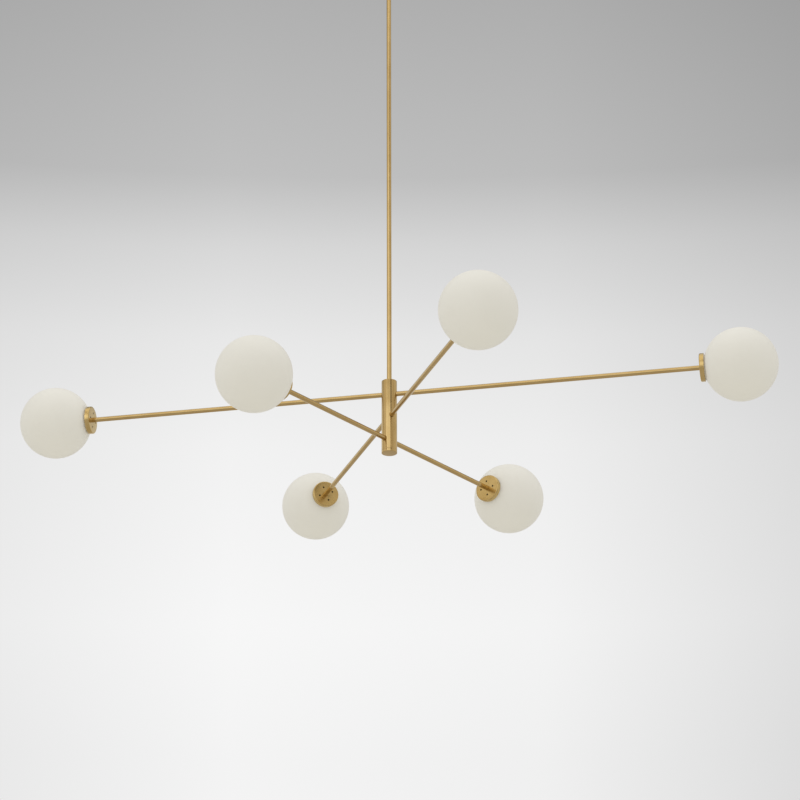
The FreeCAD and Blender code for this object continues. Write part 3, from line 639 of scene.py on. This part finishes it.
def stirrup_shape():
    """A strip bent into a U, with a hole for the arm and one for a screw in each leg."""
    inside, outside = 9.8, 11
    strip = slab([(outside, 2, 2.0), (outside, 20, 0.3), (inside, 20, 0.3), (inside, 3.2, 0.8),
                  (-inside, 3.2, 0.8), (-inside, 20, 0.3), (-outside, 20, 0.3), (-outside, 2, 2.0)], 12, 0.12,
                 at(turn=90, axis="X"))
    screws = [cylinder(SCREW_HOLE, low, low + 9, 32, SCREWS_ACROSS) for low in (-15, 6)]
    return combined("DIFFERENCE", strip, cylinder(TUBE_HOLE, 0, 6, 48), *screws)


def lampholder_shape():
    """A ceramic body with two flats, an eased mouth for the lamp, and a slot in each flat over its spring."""
    body = turned([(0, 9), (9.5, 9, 1.2), (9.5, 31, 0.8), (0, 31)], steps=96, closed=False)
    body = combined("INTERSECT", body, box(22, 14, 26, 1.0, at(z=20)))
    mouth = box(11.1, 5.1, 16, place=at(z=31), rounding=0.8)
    for point in mouth.verts:
        if point.co.z > 0.031:
            point.co.x, point.co.y, point.co.z = point.co.x * 1.32, point.co.y * 1.7, 0.0325
    slots = [box(1.6, 2.4, 9, place=at(x, side * 7, 24), rounding=0.4) for side in (-1, 1) for x in (-3, 3)]
    screws = [cylinder(SCREW_HOLE, low, low + 4, 32, SCREWS_ACROSS) for low in (-10.5, 6.5)]
    return combined("DIFFERENCE", body, mouth, *slots, *screws)


def bulb_shape():
    """A capsule with a round end, drawn in to a flat pinched base."""
    capsule = Outline().corner(0, 76).arc(68.5, 90, 24).corner(7.5, 31.3, 2.4).corner(0, 31.3)
    return joined([capsule.spun(64, closed=False), box(11, 5, 9, 1.2, at(z=27.5), rounding=0.8)])


def screw_places():
    """A stirrup screw stands in each leg, head outwards."""
    return [at(side * 11, 0, SCREW_HEIGHT) @ at(turn=side * 90, axis="Y") for side in (-1, 1)]


def make_lamps(metal, glass, steel, raw_brass, ceramic, capsule, rubber):
    globe, cup, stirrup = globe_shape(), holder_shape(), stirrup_shape()
    socket, bulb = lampholder_shape(), bulb_shape()
    ring = turned([(22, 2.02, 0.4), (25.2, 2.02, 0.4), (25.2, 3.5, 0.4), (22, 3.5, 0.4)], steps=128)
    nut, screw = hex_nut(TUBE_NUT_FLATS, 3, TUBE_NUT_BORE), pan_screw(3, 4.5, 5.5, 1.8, 0.8, 0.9)
    thread = threaded_bar(TUBE_RADIUS, TUBE_ROOT, TUBE_PITCH, 0, 7.5, 64, TUBE_BORE)
    nuts, screws = [], []
    for lamp, heading, reach, height, vent_turn in LAMPS:
        place = lamp_place(heading, reach, height)
        drilled = combined("DIFFERENCE", cup.copy(), *vent_drills(vent_turn))
        piece(f"glass_globe_{lamp}", globe.copy(), glass, f"globe_{lamp}", f"globe_{lamp}",
              place, 50)
        piece(f"holder_cup_{lamp}", drilled, metal, "fixture", f"shade_holder_{lamp}", place)
        piece(f"arm_tube_{lamp}", arm_shape(reach, thread), tube_metal(heading), "fixture", f"arm_{lamp}",
              place)
        piece(f"bent_stirrup_{lamp}", stirrup.copy(), steel, "fixture", f"stirrup_{lamp}",
              place)
        piece(f"ceramic_lampholder_{lamp}", socket.copy(), ceramic, "fixture", f"lampholder_{lamp}",
              place)
        piece(f"lamp_capsule_{lamp}", bulb.copy(), capsule, "fixture", f"bulb_{lamp}", place)
        piece(f"rubber_ring_{lamp}", ring.copy(), rubber, f"gasket_{lamp}", f"gasket_{lamp}",
              place)
        nuts.append(placed(nut, place @ at(z=3.2)))
        screws += [placed(screw, place @ side) for side in screw_places()]
    piece("arm_lock_nuts", joined(nuts), raw_brass, "fixture", "arm_nuts")
    piece("stirrup_pan_screws", joined(screws), steel, "fixture", "stirrup_screws")
    for mesh in (globe, cup, stirrup, socket, bulb, ring, nut, screw, thread):
        mesh.free()


def make_hub(metal):
    """The hub tube with its three cross drillings, each eased at both mouths, and the disc under it."""
    tube = turned([(HUB_BORE, HUB_CAP, 0.2), (HUB_RADIUS, HUB_CAP, 0.15), (HUB_RADIUS, HUB_HEIGHT, 0.8),
                   (TUBE_HOLE, HUB_HEIGHT, 0.3), (TUBE_HOLE, HUB_HEIGHT - 12), (HUB_BORE, HUB_HEIGHT - 12)],
                  steps=160)
    mouth, past = TUBE_HOLE + 0.45, 30
    drill = turned([(0, -past), (mouth, -past), (mouth, -15.6), (TUBE_HOLE, -15.2), (TUBE_HOLE, 15.2),
                    (mouth, 15.6), (mouth, past), (0, past)], steps=64, closed=False)
    drills = [placed(drill, at(z=height, turn=heading) @ at(turn=90, axis="Y")) for heading, height in LEVELS]
    drill.free()
    place = at(z=HUB_BOTTOM)
    piece("hub_tube", combined("DIFFERENCE", tube, *drills), metal, "fixture", "hub", place,
          25)
    spigot, spigot_end = HUB_BORE - 0.05, HUB_CAP + 8
    cap = turned([(0, 0), (HUB_RADIUS, 0, 0.8), (HUB_RADIUS, HUB_CAP, 0.15), (spigot, HUB_CAP),
                  (spigot, spigot_end, 0.4), (0, spigot_end)], steps=160, closed=False)
    piece("hub_end_disc", cap, metal, "fixture", "hub_cap", place)


def make_wire_joints(plastic):
    """A terminal block at each level, with two screw pits in each side."""
    pits = [cylinder(1.7, -7, -4, 24, at(z=level) @ at(turn=side, axis="X"))
            for level in (-3.5, 3.5) for side in (-90, 90)]
    terminal = combined("DIFFERENCE", box(12, 10, 14, 0.6, rounding=0.9), *pits)
    blocks = [placed(terminal, at(z=HUB_BOTTOM + height, turn=heading)) for heading, height in LEVELS]
    terminal.free()
    piece("terminal_blocks", joined(blocks), plastic, "fixture", "wire_joints")


def make_drop_rod(metal, raw_brass):
    """The rod's tube, threaded where it passes the ball, and the nut that locks it there."""
    foot, thread_start = ROD_TOP - ROD_LENGTH, -60
    tube = turned([(TUBE_BORE, foot, 0.3), (TUBE_RADIUS, foot, 0.3), (TUBE_RADIUS, thread_start),
                   (TUBE_BORE, thread_start)], steps=64)
    thread = threaded_bar(TUBE_RADIUS, TUBE_ROOT, TUBE_PITCH, thread_start, ROD_TOP, 64, TUBE_BORE)
    piece("drop_rod_tube", joined([tube, thread]), metal, "fixture", "drop_rod")
    piece("ball_lock_nut", hex_nut(TUBE_NUT_FLATS, 5, TUBE_NUT_BORE), raw_brass, "fixture", "rod_lock_nut",
          at(z=-38))


def make_canopy(metal):
    hole, inside = 15, CANOPY_RADIUS - CANOPY_SHEET
    cup = turned([(hole, 0, 0.4), (CANOPY_RADIUS, 0, 6.0), (CANOPY_RADIUS, CANOPY_DEPTH, 0.6),
                  (inside, CANOPY_DEPTH, 0.6), (inside, CANOPY_SHEET, 4.5), (hole, CANOPY_SHEET, 0.4)],
                 steps=192)
    holes = [cylinder(2.3, -6, 6, 32, at(side * STUD_OFFSET)) for side in (-1, 1)]
    piece("canopy_cup", combined("DIFFERENCE", cup, *holes), metal, "ceiling", "canopy",
          at(z=-CANOPY_DEPTH))


def knurled(mesh, radius, depth, low, high, columns):
    """Press in every other column of corners between two heights."""
    for point in mesh.verts:
        x, y, z = (value / MM for value in point.co)
        column = round(math.atan2(y, x) / math.tau * columns)
        if abs(math.hypot(x, y) - radius) < 0.01 and low < z < high and column % 2:
            point.co.x, point.co.y = (value * (radius - depth) / radius for value in point.co.xy)
    return mesh


def make_dome_nuts(metal):
    """Two domed nuts with a knurled waist."""
    radius, bore, steps = 5, 2.05, 96
    nut = turned([(0, -8), (radius, -8, 3.0), (radius, -4.5), (radius, -4.2), (radius, -1.0), (radius, -0.7),
                  (radius, 0, 0.3), (bore, 0, 0.2), (bore, -5), (0, -5)], steps, closed=False)
    knurled(nut, radius, 0.22, -4.3, -0.9, steps)
    nuts = [placed(nut, at(side * STUD_OFFSET, z=-CANOPY_DEPTH)) for side in (-1, 1)]
    nut.free()
    piece("dome_nuts", joined(nuts), metal, "ceiling", "canopy_nuts")


def make_bracket(steel, raw_brass):
    """The strap under the ceiling with its slots, the two studs with their nuts, and the earth screw."""
    strap = box(100, 22, 2, 0.25, at(z=-1), rounding=4)
    slots = [box(14, 5.5, 8, place=at(side * 28), rounding=2.74) for side in (-1, 1)]
    holes = [cylinder(5.25, -6, 6, 64), cylinder(2.05, -6, 6, 32, at(-14))]
    holes += [cylinder(2.05, -6, 6, 32, at(side * STUD_OFFSET)) for side in (-1, 1)]
    piece("bracket_strap", combined("DIFFERENCE", strap, *slots, *holes), steel, "ceiling",
          "ceiling_bracket")
    stud, nut = threaded_bar(2, 1.65, 0.7, -59.7, 0, 24), hex_nut(7, 3.2, 4.1)
    studs = joined([placed(stud, at(side * STUD_OFFSET)) for side in (-1, 1)])
    nuts = joined([placed(nut, at(side * STUD_OFFSET, z=-5.2)) for side in (-1, 1)])
    stud.free()
    nut.free()
    piece("threaded_studs", studs, steel, "ceiling", "canopy_studs")
    piece("stud_lock_nuts", nuts, steel, "ceiling", "stud_nuts")
    piece("earth_pan_screw", pan_screw(4, 2, 8, 2.6, 1.0, 1.3), raw_brass, "ceiling", "earth_screw",
          at(-14, z=-2) @ at(turn=180, axis="X"))


def make_connector(plastic):
    """The push-in connector on the cable: three flared entries, and a release slot in front of each."""
    block = box(12, 9, 16, 0.35, rounding=0.9)
    ways = (-3.6, 0, 3.6)
    entry = turned([(0, 1), (1.3, 1), (1.3, 7.6), (1.9, 8.6), (0, 8.6)], steps=32, closed=False)
    entries = [placed(entry, at(way)) for way in ways]
    entry.free()
    slots = [box(1.8, 1.4, 5, place=at(way, -4.5, 1.5), rounding=0.3) for way in ways]
    piece("push_in_connector", combined("DIFFERENCE", block, *entries, *slots), plastic, "fixture",
          "supply_connector", at(z=-16))


def make_swivel(metal):
    """The seat in the canopy's floor, and the flattened ball that hangs in it."""
    hollow, ball, half_flats, flange, spigot = 12.8, 12.5, 10.5, 20, 14.7
    floor = -CANOPY_DEPTH + CANOPY_SHEET
    low, high = floor - 3.5, floor + 4
    foot_angle, top_angle = (math.degrees(math.acos((height - BALL_CENTRE) / hollow))
                             for height in (low, high))
    seat = Outline().corner(hollow * math.sin(math.radians(foot_angle)), low)
    seat.arc(BALL_CENTRE, top_angle - foot_angle, 16)
    seat.corner(flange, high, 0.5).corner(flange, floor, 0.3).corner(spigot, floor, 0.15)
    seat.corner(spigot, low, 0.5)
    piece("seat_ring", seat.spun(128), metal, "swivel", "ball_seat")
    mesh = bmesh.new()
    bmesh.ops.create_uvsphere(mesh, u_segments=96, v_segments=64, radius=ball * MM)
    for side in (-1, 1):
        whole = mesh.verts[:] + mesh.edges[:] + mesh.faces[:]
        cut = bmesh.ops.bisect_plane(mesh, geom=whole, dist=1e-7, plane_co=(0, 0, side * half_flats * MM),
                                     plane_no=(0, 0, side), clear_outer=True)
        rim = [edge for edge in cut["geom_cut"] if isinstance(edge, bmesh.types.BMEdge)]
        bmesh.ops.holes_fill(mesh, edges=rim)
    bmesh.ops.recalc_face_normals(mesh, faces=mesh.faces[:])
    bore = cylinder(TUBE_HOLE, -20, 20, 64)
    piece("rod_ball", combined("DIFFERENCE", mesh, bore), metal, "fixture", "swivel_ball",
          at(z=BALL_CENTRE))


def dress(material, *nodes):
    """Give CAD nodes that stay a material."""
    for name in nodes:
        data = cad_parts[name].data
        data.materials.clear()
        data.materials.append(material)


def make_part():
    upright = brass("satin_brass_upright", (700, 700, 9))
    turned_metal = turned_brass("satin_brass_turned")
    steel = zinc_steel()
    raw_brass = brass("plain_brass", (300, 300, 300), tone=0.95)
    ceramic = moulded("white_ceramic", (0.80, 0.78, 0.72), (0.86, 0.85, 0.80), 0.45, 1500.0, 0.00002)
    plastic = moulded("white_moulding", (0.78, 0.78, 0.74), (0.84, 0.84, 0.81), 0.35, 2500.0, 0.00001)
    sheath = moulded("cable_sheath", (0.72, 0.70, 0.64), (0.78, 0.76, 0.71), 0.40, 700.0, 0.00002)
    rubber = moulded("silicone_rubber", (0.66, 0.65, 0.61), (0.72, 0.71, 0.68), 0.60, 1200.0, 0.00003)

    make_lamps(turned_metal, opal_glass(), steel, raw_brass, ceramic, frosted_capsule(), rubber)
    make_hub(upright)
    make_wire_joints(plastic)
    make_drop_rod(upright, raw_brass)
    make_canopy(turned_metal)
    make_dome_nuts(turned_metal)
    make_swivel(turned_metal)
    make_bracket(steel, raw_brass)
    make_connector(plastic)
    dress(sheath, "drop_cable", "lamp_leads")


bpy.context.scene.view_settings.view_transform = "Standard"
make_camera()
make_world()
make_floor()
make_lights()
make_part()
